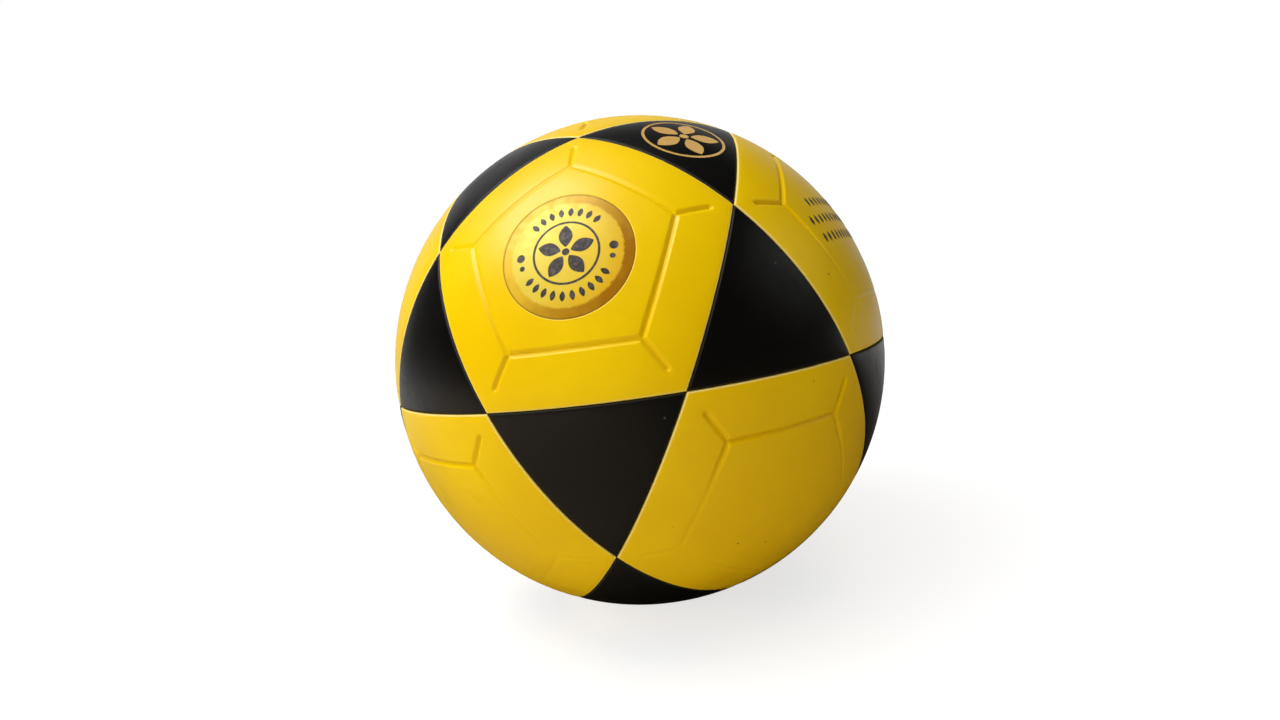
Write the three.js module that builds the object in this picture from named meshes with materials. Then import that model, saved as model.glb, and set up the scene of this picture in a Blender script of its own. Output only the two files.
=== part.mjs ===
// A footvolley ball: twelve grooved pentagon panels and twenty plain triangle panels on a rubber carcass,
// over a nylon-wound layer and an air bladder, with a valve through the top pentagon.
// Millimetres, +Z up through the valve, origin at the ball's centre.

import * as THREE from "three";

// Overall size
const BALL_DIAMETER = 220;

// Cover panels
const PANEL_THICKNESS = 2.4;
const PANEL_EDGE_BEVEL = 0.6;
const SEAM_GAP = 0.4;

// Groove pressed into every pentagon, measured along the ball's surface
const GROOVE_INSET = 19.2;
const GROOVE_WIDTH = 3.6;
const GROOVE_DEPTH = 0.7;
const SPOKE_END_GAP = 8.5;

// Shells under the cover
const CARCASS_THICKNESS = 1;
const WINDING_THICKNESS = 0.8;
const BLADDER_THICKNESS = 1;
const LAYER_GAP = 0.3;

// Valve core, a rubber plug on the +Z axis with a hole for the pump's needle
const CORE_LENGTH = 17;
const CORE_SHANK_DIAMETER = 4.4;
const CORE_HEAD_RIM = 0.6;
const CORE_HEAD_HEIGHT = 1.2;
const CORE_TIP_TAPER = 1;
const CORE_CLEARANCE = 0.3;
const NEEDLE_HOLE_DIAMETER = 1.8;
const NEEDLE_HOLE_DEPTH = 11;
const NEEDLE_HOLE_LEAD_IN = 0.5;

// Valve housing, the rubber moulding that the core sits in
const NECK_WALL = 0.9;
const NECK_CLEARANCE = 0.35;
const NECK_RECESS = 0.6;
const HOUSING_WALL = 3.5;
const HOUSING_END_WALL = 1.6;
const HOUSING_END_TAPER = 2;
const AIR_HOLE_DIAMETER = 2;
const FLANGE_WIDTH = 8;
const FLANGE_THICKNESS = 1.5;

// Facets: rings of a panel from its middle out, steps along a ring's sides, and sides of the turned pieces
const OUTSIDE_RINGS = 3;
const INSIDE_RINGS = 4;
const GROOVE_STEPS = 4;
const EDGE_STEPS = 6;
const VALVE_SIDES = 20;
const SHELL_SIDES = 24;
const SHELL_BANDS = 12;

// Finishes
const YELLOW_SKIN = { color: 0xf0c808, roughness: 0.4, metalness: 0 };
const BLACK_SKIN = { color: 0x1e1a17, roughness: 0.4, metalness: 0 };
const CARCASS_RUBBER = { color: 0x4a4038, roughness: 0.85, metalness: 0 };
const WINDING_NYLON = { color: 0xd9d3c2, roughness: 0.9, metalness: 0 };
const BLADDER_RUBBER = { color: 0x2c2c2e, roughness: 0.8, metalness: 0 };
const HOUSING_RUBBER = { color: 0x242322, roughness: 0.7, metalness: 0 };
const CORE_RUBBER = { color: 0x35332f, roughness: 0.7, metalness: 0 };

// The seams are great circles, and the panels are the faces of an icosidodecahedron on the ball.
// Angles at the ball's centre, from a panel's axis to the middle of its sides and to its corners
const GOLDEN_RATIO = (1 + Math.sqrt(5)) / 2;
const PENTAGON = { sides: 5, apothemAngle: Math.atan(1 / 2), cornerAngle: Math.atan(1 / GOLDEN_RATIO) };
const TRIANGLE = { sides: 3, apothemAngle: Math.atan(1 / (2 * GOLDEN_RATIO ** 2)) };

// Rows of panels from the valve down: the angle from +Z, the first azimuth and which way a corner points
const PENTAGON_POLAR = Math.atan(2);
const HIGH_TRIANGLE_POLAR = Math.atan(2 / GOLDEN_RATIO ** 2);
const MIDDLE_TRIANGLE_POLAR = Math.atan(2 * GOLDEN_RATIO ** 2);
const PENTAGON_ROWS = [
  { count: 1, polar: 0, azimuth: -90, cornerUp: false },
  { count: 5, polar: PENTAGON_POLAR, azimuth: -90, cornerUp: true },
  { count: 5, polar: Math.PI - PENTAGON_POLAR, azimuth: -54, cornerUp: false },
  { count: 1, polar: Math.PI, azimuth: -90, cornerUp: false },
];
const TRIANGLE_ROWS = [
  { count: 5, polar: HIGH_TRIANGLE_POLAR, azimuth: -54, cornerUp: false },
  { count: 5, polar: MIDDLE_TRIANGLE_POLAR, azimuth: -54, cornerUp: true },
  { count: 5, polar: Math.PI - MIDDLE_TRIANGLE_POLAR, azimuth: -90, cornerUp: false },
  { count: 5, polar: Math.PI - HIGH_TRIANGLE_POLAR, azimuth: -90, cornerUp: true },
];

// Radii of the layers, from the outside in
const BALL_RADIUS = BALL_DIAMETER / 2;
const SEAT_RADIUS = BALL_RADIUS - PANEL_THICKNESS;
const CARCASS_RADIUS = SEAT_RADIUS - LAYER_GAP;
const WINDING_RADIUS = CARCASS_RADIUS - CARCASS_THICKNESS - LAYER_GAP;
const BLADDER_RADIUS = WINDING_RADIUS - WINDING_THICKNESS - LAYER_GAP;
const BLADDER_INSIDE_RADIUS = BLADDER_RADIUS - BLADDER_THICKNESS;

// Radii of the valve, from the axis out
const CORE_SHANK_RADIUS = CORE_SHANK_DIAMETER / 2;
const CORE_HEAD_RADIUS = CORE_SHANK_RADIUS + CORE_HEAD_RIM;
const SHANK_SOCKET_RADIUS = CORE_SHANK_RADIUS + CORE_CLEARANCE;
const HEAD_SOCKET_RADIUS = CORE_HEAD_RADIUS + CORE_CLEARANCE;
const NECK_RADIUS = HEAD_SOCKET_RADIUS + NECK_WALL;
const VALVE_HOLE_RADIUS = NECK_RADIUS + NECK_CLEARANCE;
const HOUSING_RADIUS = SHANK_SOCKET_RADIUS + HOUSING_WALL;
const FLANGE_RADIUS = HOUSING_RADIUS + FLANGE_WIDTH;

// Heights on the valve's axis, from the top down
const VALVE_TOP = BALL_RADIUS - NECK_RECESS;
const CORE_SHOULDER = VALVE_TOP - CORE_HEAD_HEIGHT;
const CORE_TIP = VALVE_TOP - CORE_LENGTH;
const SOCKET_BOTTOM = CORE_TIP - CORE_CLEARANCE;
const HOUSING_BOTTOM = SOCKET_BOTTOM - HOUSING_END_WALL;

// Angles from +Z of the valve hole and of the flange's rim, where they meet the bladder's inside
const HOLE_POLAR = Math.asin(VALVE_HOLE_RADIUS / BLADDER_INSIDE_RADIUS);
const FLANGE_POLAR = Math.asin(FLANGE_RADIUS / BLADDER_INSIDE_RADIUS);

const BALL_CENTRE = new THREE.Vector3();
const FULL_TURN = 2 * Math.PI;
const SAME_AZIMUTH = 1e-9;

// Closed loops of points round a panel's axis, which is +Z here.
// They are drawn on the plane z = 1, where great circles are straight lines, and then put at a radius.

function evenStops(steps) {
  return Array.from({ length: steps }, (_, step) => step / steps);
}

// A stop at the corner, one at each side of a mouth that is centred on it, and even steps between the mouths
function mouthStops(steps, mouth) {
  const between = Array.from({ length: steps + 1 }, (_, step) => mouth + ((1 - 2 * mouth) * step) / steps);
  return [0, ...between];
}

// A regular polygon, corner first, with the same stops along each side
function polygonLoop(sides, apothem, stops, radius, cornerRadius = radius) {
  const distance = apothem / Math.cos(Math.PI / sides);
  const corners = [];
  for (let corner = 0; corner <= sides; corner += 1) {
    const azimuth = (FULL_TURN * corner) / sides;
    corners.push(new THREE.Vector3(distance * Math.cos(azimuth), distance * Math.sin(azimuth), 1));
  }
  const loop = [];
  for (let side = 0; side < sides; side += 1) {
    for (const stop of stops) {
      const point = corners[side].clone().lerp(corners[side + 1], stop);
      loop.push(point.setLength(stop === 0 ? cornerRadius : radius));
    }
  }
  return loop;
}

// Evenly spaced polygons between a panel's middle and a larger polygon, with more steps on each one
function ringLoops(sides, apothem, rings, radius) {
  const loops = [];
  for (let ring = 1; ring < rings; ring += 1) {
    loops.push(polygonLoop(sides, (apothem * ring) / rings, evenStops(ring + 1), radius));
  }
  return loops;
}

// The middle of a panel: one point, or the rim of a round hole
function middleLoop(holeRadius, radius) {
  if (holeRadius === 0) {
    return [new THREE.Vector3(0, 0, radius)];
  }
  const height = Math.sqrt(radius ** 2 - holeRadius ** 2);
  return evenStops(VALVE_SIDES).map((stop) => {
    const azimuth = FULL_TURN * stop;
    return new THREE.Vector3(holeRadius * Math.cos(azimuth), holeRadius * Math.sin(azimuth), height);
  });
}

function azimuthAt(loop, index) {
  if (loop.length === 1 || index > loop.length) {
    return Infinity;
  }
  if (index === loop.length) {
    return FULL_TURN;
  }
  return (Math.atan2(loop[index].y, loop[index].x) + FULL_TURN) % FULL_TURN;
}

// Triangles between two loops that start at the same azimuth; a loop of one point gives a fan
function stitch(near, far) {
  const points = [];
  let nearIndex = 0;
  let farIndex = 0;
  let nearNext = azimuthAt(near, 1);
  let farNext = azimuthAt(far, 1);
  while (Math.min(nearNext, farNext) < Infinity) {
    points.push(near[nearIndex % near.length], far[farIndex % far.length]);
    if (nearNext <= farNext + SAME_AZIMUTH) {
      nearIndex += 1;
      points.push(near[nearIndex % near.length]);
      nearNext = azimuthAt(near, nearIndex + 1);
    } else {
      farIndex += 1;
      points.push(far[farIndex % far.length]);
      farNext = azimuthAt(far, farIndex + 1);
    }
  }
  return points;
}

// Cover panels

// The apothem of a polygon whose sides lie so far in from the seams
function sideInsetApothem(shape, inset) {
  return Math.tan(shape.apothemAngle - inset / BALL_RADIUS);
}

// The apothem of a polygon whose corners lie so far in from the seams' crossings
function cornerInsetApothem(shape, inset) {
  return Math.tan(shape.cornerAngle - inset / BALL_RADIUS) * Math.cos(Math.PI / shape.sides);
}

// The share of a polygon's side that half the width of a spoke through its corner takes up
function spokeMouth(shape, apothem) {
  const halfCorner = Math.PI / 2 - Math.PI / shape.sides;
  const cornerDistance = apothem / Math.cos(Math.PI / shape.sides);
  const halfWidth = (GROOVE_WIDTH / 2 / BALL_RADIUS) * Math.hypot(1, cornerDistance);
  const sideLength = 2 * apothem * Math.tan(Math.PI / shape.sides);
  return halfWidth / Math.sin(halfCorner) / sideLength;
}

// The groove is a smaller polygon, with a spoke from each of its corners towards the panel's corner
function groovedLoops(shape) {
  const innerRim = sideInsetApothem(shape, GROOVE_INSET + GROOVE_WIDTH / 2);
  const bottom = sideInsetApothem(shape, GROOVE_INSET);
  const outerRim = sideInsetApothem(shape, GROOVE_INSET - GROOVE_WIDTH / 2);
  const spokeEnd = cornerInsetApothem(shape, SPOKE_END_GAP + GROOVE_WIDTH / 2);
  const spokeTip = cornerInsetApothem(shape, SPOKE_END_GAP);
  const bottomRadius = BALL_RADIUS - GROOVE_DEPTH;
  const closed = evenStops(GROOVE_STEPS);
  const open = (apothem) => mouthStops(GROOVE_STEPS, spokeMouth(shape, apothem));
  return [
    ...ringLoops(shape.sides, innerRim, OUTSIDE_RINGS, BALL_RADIUS),
    polygonLoop(shape.sides, innerRim, closed, BALL_RADIUS),
    polygonLoop(shape.sides, bottom, closed, bottomRadius),
    polygonLoop(shape.sides, outerRim, open(outerRim), BALL_RADIUS, bottomRadius),
    polygonLoop(shape.sides, spokeEnd, open(spokeEnd), BALL_RADIUS, bottomRadius),
    polygonLoop(shape.sides, spokeTip, open(spokeTip), BALL_RADIUS),
  ];
}

function plainLoops(shape) {
  const edge = sideInsetApothem(shape, SEAM_GAP / 2 + PANEL_EDGE_BEVEL);
  return ringLoops(shape.sides, edge, OUTSIDE_RINGS, BALL_RADIUS);
}

// The inside, from the edge to the middle, lifted until its facets' lowest point is at the seat's radius
function insideLoops(shape, holeRadius) {
  const outline = sideInsetApothem(shape, SEAM_GAP / 2);
  const loops = [
    polygonLoop(shape.sides, outline, evenStops(EDGE_STEPS), 1),
    ...ringLoops(shape.sides, outline, INSIDE_RINGS, 1).reverse(),
    middleLoop(holeRadius / SEAT_RADIUS, 1),
  ];
  const lowest = new THREE.Vector3();
  let leastRadius = 1;
  for (let ring = 1; ring < loops.length; ring += 1) {
    const points = stitch(loops[ring - 1], loops[ring]);
    for (let corner = 0; corner < points.length; corner += 3) {
      const facet = new THREE.Triangle(...points.slice(corner, corner + 3));
      facet.closestPointToPoint(BALL_CENTRE, lowest);
      leastRadius = Math.min(leastRadius, lowest.length());
    }
  }
  return loops.map((loop) => loop.map((point) => point.multiplyScalar(SEAT_RADIUS / leastRadius)));
}

// One closed skin: loops from the middle of the outside, over the bevelled edge, to the middle of the inside
function panelGeometry(shape, outsideLoops, holeRadius = 0) {
  const bevelTop = sideInsetApothem(shape, SEAM_GAP / 2 + PANEL_EDGE_BEVEL);
  const outline = sideInsetApothem(shape, SEAM_GAP / 2);
  const loops = [
    middleLoop(holeRadius, BALL_RADIUS),
    ...outsideLoops,
    polygonLoop(shape.sides, bevelTop, evenStops(EDGE_STEPS), BALL_RADIUS),
    polygonLoop(shape.sides, outline, evenStops(EDGE_STEPS), BALL_RADIUS - PANEL_EDGE_BEVEL),
    ...insideLoops(shape, holeRadius),
  ];
  const points = loops.flatMap((loop, index) => stitch(loop, loops[(index + 1) % loops.length]));
  return new THREE.BufferGeometry().setFromPoints(points);
}

// Pieces turned about the +Z axis, from profiles of distances from the axis and heights

function turnedGeometry(profile, sides) {
  const points = profile.map(([distance, height]) => new THREE.Vector2(distance, height));
  return new THREE.LatheGeometry(points, sides).rotateX(Math.PI / 2);
}

function onSphere(radius, polar) {
  return [radius * Math.sin(polar), radius * Math.cos(polar)];
}

// Every shell has the same bands, so that the facets of one lie parallel to those of the next
function shellGeometry(radius, thickness) {
  const polars = [HOLE_POLAR];
  for (let band = 1; band <= SHELL_BANDS; band += 1) {
    polars.push(THREE.MathUtils.mapLinear(band, 1, SHELL_BANDS, FLANGE_POLAR, Math.PI));
  }
  const outside = polars.map((polar) => onSphere(radius, polar));
  const inside = polars.map((polar) => onSphere(radius - thickness, polar));
  return turnedGeometry([outside[0], ...inside, ...outside.reverse()], SHELL_SIDES);
}

// The flange's top follows the bladder's first band, which runs straight from the hole to the flange's rim
function flangeTop(distance) {
  const [holeDistance, holeHeight] = onSphere(BLADDER_INSIDE_RADIUS, HOLE_POLAR);
  const [rimDistance, rimHeight] = onSphere(BLADDER_INSIDE_RADIUS, FLANGE_POLAR);
  return THREE.MathUtils.mapLinear(distance, holeDistance, rimDistance, holeHeight, rimHeight) - LAYER_GAP;
}

function housingGeometry() {
  const airHole = AIR_HOLE_DIAMETER / 2;
  const socketShoulder = CORE_SHOULDER - CORE_CLEARANCE;
  const profile = [
    [NECK_RADIUS, VALVE_TOP],
    [HEAD_SOCKET_RADIUS, VALVE_TOP],
    [HEAD_SOCKET_RADIUS, socketShoulder],
    [SHANK_SOCKET_RADIUS, socketShoulder],
    [SHANK_SOCKET_RADIUS, SOCKET_BOTTOM],
    [airHole, SOCKET_BOTTOM],
    [airHole, HOUSING_BOTTOM],
    [HOUSING_RADIUS - HOUSING_END_TAPER, HOUSING_BOTTOM],
    [HOUSING_RADIUS, HOUSING_BOTTOM + HOUSING_END_TAPER],
    [HOUSING_RADIUS, flangeTop(HOUSING_RADIUS) - FLANGE_THICKNESS],
    [FLANGE_RADIUS, flangeTop(FLANGE_RADIUS) - FLANGE_THICKNESS],
    [FLANGE_RADIUS, flangeTop(FLANGE_RADIUS)],
    [NECK_RADIUS, flangeTop(NECK_RADIUS)],
    [NECK_RADIUS, VALVE_TOP],
  ];
  return turnedGeometry(profile, VALVE_SIDES);
}

function coreGeometry() {
  const needleHole = NEEDLE_HOLE_DIAMETER / 2;
  const profile = [
    [0, CORE_TIP],
    [CORE_SHANK_RADIUS - CORE_TIP_TAPER, CORE_TIP],
    [CORE_SHANK_RADIUS, CORE_TIP + CORE_TIP_TAPER],
    [CORE_SHANK_RADIUS, CORE_SHOULDER],
    [CORE_HEAD_RADIUS, CORE_SHOULDER],
    [CORE_HEAD_RADIUS, VALVE_TOP],
    [needleHole + NEEDLE_HOLE_LEAD_IN, VALVE_TOP],
    [needleHole, VALVE_TOP - NEEDLE_HOLE_LEAD_IN],
    [needleHole, VALVE_TOP - NEEDLE_HOLE_DEPTH],
    [0, VALVE_TOP - NEEDLE_HOLE_DEPTH],
  ];
  return turnedGeometry(profile, VALVE_SIDES);
}

// The ball

const ball = new THREE.Group();

function namedMesh(name, geometry, finish) {
  const mesh = new THREE.Mesh(geometry, new THREE.MeshStandardMaterial(finish));
  mesh.name = name;
  return mesh;
}

function numbered(name, index) {
  return `${name}_${String(index + 1).padStart(2, "0")}`;
}

// One group for each place in the rows, turned so that a panel in it points out with a corner up or down
function panelPlaces(rows) {
  const places = [];
  for (const { count, polar, azimuth, cornerUp } of rows) {
    for (let copy = 0; copy < count; copy += 1) {
      const tilt = new THREE.Group();
      const turn = THREE.MathUtils.degToRad(azimuth) + (FULL_TURN * copy) / count;
      tilt.rotation.set(0, polar, turn, "ZYX");
      const spin = new THREE.Group();
      spin.rotation.z = cornerUp ? Math.PI : 0;
      tilt.add(spin);
      ball.add(tilt);
      places.push(spin);
    }
  }
  return places;
}

const valvePanelGeometry = panelGeometry(PENTAGON, groovedLoops(PENTAGON), VALVE_HOLE_RADIUS);
const pentagonGeometry = panelGeometry(PENTAGON, groovedLoops(PENTAGON));
const triangleGeometry = panelGeometry(TRIANGLE, plainLoops(TRIANGLE));

panelPlaces(PENTAGON_ROWS).forEach((place, index) => {
  if (index === 0) {
    place.add(namedMesh("valve_panel", valvePanelGeometry, YELLOW_SKIN));
  } else {
    place.add(namedMesh(numbered("pentagon_panel", index), pentagonGeometry, YELLOW_SKIN));
  }
});
panelPlaces(TRIANGLE_ROWS).forEach((place, index) => {
  place.add(namedMesh(numbered("triangle_panel", index), triangleGeometry, BLACK_SKIN));
});
ball.add(namedMesh("carcass", shellGeometry(CARCASS_RADIUS, CARCASS_THICKNESS), CARCASS_RUBBER));
ball.add(namedMesh("winding_layer", shellGeometry(WINDING_RADIUS, WINDING_THICKNESS), WINDING_NYLON));
ball.add(namedMesh("bladder", shellGeometry(BLADDER_RADIUS, BLADDER_THICKNESS), BLADDER_RUBBER));
ball.add(namedMesh("valve_housing", housingGeometry(), HOUSING_RUBBER));
ball.add(namedMesh("valve_core", coreGeometry(), CORE_RUBBER));

export default ball;
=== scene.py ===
"""Looks of a footvolley ball: a cover of grooved yellow pentagons and black triangles, with a needle valve.

Metres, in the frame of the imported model: +Z out through the valve, origin at the ball's centre.
"""

import math

import bpy
import numpy as np
from mathutils import Matrix, Vector


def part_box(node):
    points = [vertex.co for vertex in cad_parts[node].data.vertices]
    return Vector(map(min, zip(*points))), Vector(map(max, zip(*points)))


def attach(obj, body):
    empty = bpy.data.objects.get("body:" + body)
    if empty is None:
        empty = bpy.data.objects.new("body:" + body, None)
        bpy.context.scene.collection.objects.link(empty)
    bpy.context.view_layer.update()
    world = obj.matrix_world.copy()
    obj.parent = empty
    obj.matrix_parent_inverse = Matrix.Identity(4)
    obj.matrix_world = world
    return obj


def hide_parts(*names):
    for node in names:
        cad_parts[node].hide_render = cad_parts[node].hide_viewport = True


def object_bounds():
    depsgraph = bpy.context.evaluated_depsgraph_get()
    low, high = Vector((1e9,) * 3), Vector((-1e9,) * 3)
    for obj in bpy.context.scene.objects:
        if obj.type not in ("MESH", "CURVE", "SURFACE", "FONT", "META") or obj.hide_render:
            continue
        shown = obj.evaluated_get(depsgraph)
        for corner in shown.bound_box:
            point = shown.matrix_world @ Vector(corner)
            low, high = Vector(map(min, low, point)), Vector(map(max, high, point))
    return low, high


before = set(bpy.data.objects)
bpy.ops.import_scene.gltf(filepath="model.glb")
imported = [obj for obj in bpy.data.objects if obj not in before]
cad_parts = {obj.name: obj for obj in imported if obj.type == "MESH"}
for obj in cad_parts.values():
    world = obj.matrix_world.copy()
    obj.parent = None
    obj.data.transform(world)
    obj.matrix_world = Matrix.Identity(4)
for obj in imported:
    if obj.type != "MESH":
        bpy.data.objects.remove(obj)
CAD_LOW, CAD_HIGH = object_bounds()
MM = 0.001

# Cover. The ball's radius is the frame's; seams are finer than the solids', the groove narrower and deeper
BALL_RADIUS = min(*CAD_HIGH.xy, *(-CAD_LOW.xyz))
PANEL_THICKNESS = 1.9 * MM
SEAM_GAP = 0.16 * MM
EDGE_ROLL = 0.65 * MM
EDGE_SINK = 0.22 * MM
EDGE_SINK_REACH = 1.6 * MM
GROOVE_INSET = 18.8 * MM
GROOVE_HALF_WIDTH = 1.3 * MM
GROOVE_DEPTH = 1.3 * MM
GROOVE_SOFTNESS = 0.24 * MM
SPOKE_END_GAP = 8.5 * MM

# How a groove is pressed: the share of its depth on its shallow side, and the cosines of the angle from its
# deep side between which it deepens. Each pentagon, in order, also has the azimuth of its deep side
EVEN_PRESS = (0.45, -0.2, 0.5)
FAINT_PRESS = (0.13, 0.4, 0.85)
GROOVE_PRESSES = (
    (0, *EVEN_PRESS),
    (-144, *EVEN_PRESS), (45, *FAINT_PRESS), (72, *EVEN_PRESS), (144, *EVEN_PRESS), (108, *FAINT_PRESS),
    (180, *FAINT_PRESS), (108, *EVEN_PRESS), (36, *EVEN_PRESS), (-36, *EVEN_PRESS), (180, *FAINT_PRESS),
    (0, *EVEN_PRESS),
)

# Printed roundel on the front panel: a sunk disc of gold foil with a halo, a ragged rim and an outline
ROUNDEL_RADIUS = 23 * MM
ROUNDEL_RIM = 3.7 * MM
ROUNDEL_SINK = 0.14 * MM
ROUNDEL_STEP = 0.35 * MM
RIM_RAGGED = 0.22 * MM
RIM_BLEND = 0.5 * MM
HALO_START = 13 * MM
HALO_STRENGTH = 0.6
OUTLINE_WIDTH = 0.5 * MM
OUTLINE_BLEND = 0.25 * MM
OUTLINE_STRENGTH = 0.8
# Painted light on the prints: they pale towards the side the light comes from, up and left on their panels
PAINTED_LIGHT_DIRECTION = Vector((0.5, 0.87, 0))
# Films of foil and ink: how far they stand up and reach down, and the size of their mesh
FOIL_LIFT = 0.03 * MM
INK_LIFT = 0.05 * MM
FILM_ROOT = 0.08 * MM
FILM_MESH = 2 * MM
# Ink on the roundel: leaves in two arcs and side dots (reach, turn, radius), round a rosette in a ring
ARC_RADIUS = 15.4 * MM
ARC_LEAF_LENGTH = 3.6 * MM
ARC_LEAF_HALF_WIDTH = 0.95 * MM
ARC_STEP = math.radians(12.5)
TOP_LEAVES = 8
BOTTOM_LEAVES = 10
SIDE_DOTS = ((16 * MM, math.radians(88), 1.5 * MM), (15.8 * MM, math.radians(102), 0.95 * MM))
INNER_RING_RADIUS = 11.6 * MM
INNER_RING_WIDTH = 0.8 * MM
PETAL_COUNT = 5
PETAL_START = 1.8 * MM
PETAL_END = 10 * MM
PETAL_HALF_WIDTH = 2.4 * MM
HUB_RADIUS = 1.3 * MM
# The larger rosette on the triangle above, and rows of upright leaves on the panel to the right
MARK_SCALE = 1.38
ROW_HEIGHTS = (9.9 * MM, 2 * MM, -5.7 * MM)
ROW_HALF_LENGTHS = (24 * MM, 29 * MM, 27 * MM)
ROW_LEAF_LENGTH = 4.2 * MM
ROW_LEAF_HALF_WIDTH = 0.9 * MM
ROW_STEP = 4 * MM

# Shells under the cover
CARCASS_RADIUS = 107.3 * MM
CARCASS_THICKNESS = 1 * MM
WINDING_RADIUS = 106 * MM
WINDING_THICKNESS = 0.8 * MM
BLADDER_RADIUS = 104.9 * MM
BLADDER_THICKNESS = 1 * MM

# Valve: radii from the axis out, and heights from the top down
NEEDLE_HOLE_RADIUS = 0.9 * MM
NEEDLE_LEAD_IN = 0.5 * MM
NEEDLE_HOLE_DEPTH = 11 * MM
CORE_SHANK_RADIUS = 2.2 * MM
CORE_HEAD_RADIUS = 2.8 * MM
SHANK_SOCKET_RADIUS = 2.5 * MM
HEAD_SOCKET_RADIUS = 3.1 * MM
NECK_RADIUS = 4 * MM
VALVE_HOLE_RADIUS = 4.35 * MM
HOUSING_RADIUS = 6 * MM
AIR_HOLE_RADIUS = 1 * MM
VALVE_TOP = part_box("valve_core")[1].z
CORE_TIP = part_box("valve_core")[0].z
CORE_HEAD_HEIGHT = 1.2 * MM
CORE_TAPER = 1 * MM
SOCKET_CLEARANCE = 0.3 * MM
HOUSING_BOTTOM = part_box("valve_housing")[0].z
HOUSING_TAPER = 2 * MM
FLANGE_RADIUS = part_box("valve_housing")[1].x
FLANGE_THICKNESS = 1.5 * MM
FLANGE_GAP = 0.3 * MM
VALVE_FILLET = 0.22 * MM

# Panels are the faces of an icosidodecahedron: angles from a panel's axis to its sides and its corners
GOLDEN = (1 + math.sqrt(5)) / 2
PENTAGON = {"sides": 5, "side_angle": math.atan(1 / 2), "corner_angle": math.atan(1 / GOLDEN)}
TRIANGLE = {"sides": 3, "side_angle": math.atan(1 / (2 * GOLDEN**2))}

# Rows of panels from the valve down: count, angle from +Z, first azimuth, whether a corner points up
PENTAGON_POLAR = math.atan(2)
HIGH_POLAR = math.atan(2 / GOLDEN**2)
MIDDLE_POLAR = math.atan(2 * GOLDEN**2)
PENTAGON_ROWS = (
    (1, 0, -90, False),
    (5, PENTAGON_POLAR, -90, True),
    (5, math.pi - PENTAGON_POLAR, -54, False),
    (1, math.pi, -90, False),
)
TRIANGLE_ROWS = (
    (5, HIGH_POLAR, -54, False),
    (5, MIDDLE_POLAR, -54, True),
    (5, math.pi - MIDDLE_POLAR, -90, False),
    (5, math.pi - HIGH_POLAR, -90, True),
)
VALVE_PANEL = "valve_panel"
PRINT_PANEL = "pentagon_panel_02"
MARK_PANEL = "triangle_panel_01"
ROWS_PANEL = "pentagon_panel_03"

# Camera, in ball radii and degrees, and the photo's focal length in pixels
CAMERA_DISTANCE = 2.8557
CAMERA_AZIMUTH = 11.09
CAMERA_ELEVATION = 6.31
CAMERA_ROLL = 8.19
CLIP_START = 10 * MM
FOCAL_LENGTH_PIXELS = 655.17
IMAGE_WIDTH_PIXELS = 1280

# Colours, and the cover's specular levels
YELLOW = (0.88, 0.576, 0.0012, 1)
YELLOW_DEEP = (0.83, 0.52, 0.001, 1)
# The yellow's grime colour also serves as painted shade in the seam gaps and grooves
YELLOW_GRIME_AND_SHADE = (0.42, 0.24, 0.004, 1)
YELLOW_EDGE = (0.95, 0.78, 0.36, 1)
YELLOW_SPECULAR = 0.6
SPECK = (0.05, 0.035, 0.012, 1)
BLACK = (0.0024, 0.002, 0.0017, 1)
BLACK_WORN = (0.006, 0.0052, 0.0046, 1)
BLACK_EDGE = (0.014, 0.0125, 0.01, 1)
BLACK_SPECULAR = 0.9
DUST = (0.09, 0.082, 0.07, 1)
# Gold prints: each colour has a paler copy for the side towards the light, which is painted light
FOIL = (0.88, 0.57, 0.03, 1)
FOIL_PAINTED_LIT = (0.78, 0.65, 0.1, 1)
HALO = (0.8, 0.43, 0.012, 1)
HALO_PAINTED_LIT = (0.79, 0.6, 0.07, 1)
RIM = (0.4, 0.16, 0.002, 1)
RIM_PAINTED_LIT = (0.82, 0.51, 0.03, 1)
OUTLINE = (0.26, 0.15, 0.01, 1)
MARK = (0.62, 0.36, 0.1, 1)
MARK_PAINTED_LIT = (0.8, 0.5, 0.17, 1)
INK = (0.04, 0.033, 0.034, 1)
INK_PALE = (0.11, 0.092, 0.095, 1)
NYLON = (0.69, 0.65, 0.54, 1)
NYLON_SHADE = (0.3, 0.27, 0.2, 1)
WHITE = (1, 1, 1, 1)
# Rubbers: colour, colour under dust, roughness, and the dust's cells per metre
RUBBERS = {
    "housing_rubber": ((0.018, 0.017, 0.016, 1), (0.05, 0.046, 0.04, 1), 0.6, 400),
    "core_rubber": ((0.036, 0.033, 0.028, 1), (0.08, 0.072, 0.06, 1), 0.6, 500),
    "carcass_rubber": ((0.07, 0.052, 0.04, 1), (0.12, 0.095, 0.075, 1), 0.8, 60),
    "bladder_rubber": ((0.025, 0.025, 0.027, 1), (0.06, 0.06, 0.06, 1), 0.7, 60),
}


# Loops of points round a panel's axis, as directions from the ball's centre; the axis is +Z here.
# A polygon on the plane z = 1 has straight sides, which are great circles on the ball.

AXIS_POINT = np.array([[0.0, 0.0, 1.0]])


def directions(flat):
    points = np.column_stack([flat, np.ones(len(flat))])
    return points / np.linalg.norm(points, axis=1, keepdims=True)


def even_stops(steps):
    return np.arange(steps) / steps


def polygon_loop(shape, apothem, stops):
    """A regular polygon, corner first, with the same stops along each side."""
    sides = shape["sides"]
    turns = 2 * np.pi * np.arange(sides + 1) / sides
    corners = np.column_stack([np.cos(turns), np.sin(turns)]) * apothem / math.cos(math.pi / sides)
    flat = [start + (end - start) * stop for start, end in zip(corners, corners[1:]) for stop in stops]
    return directions(np.array(flat))


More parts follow.
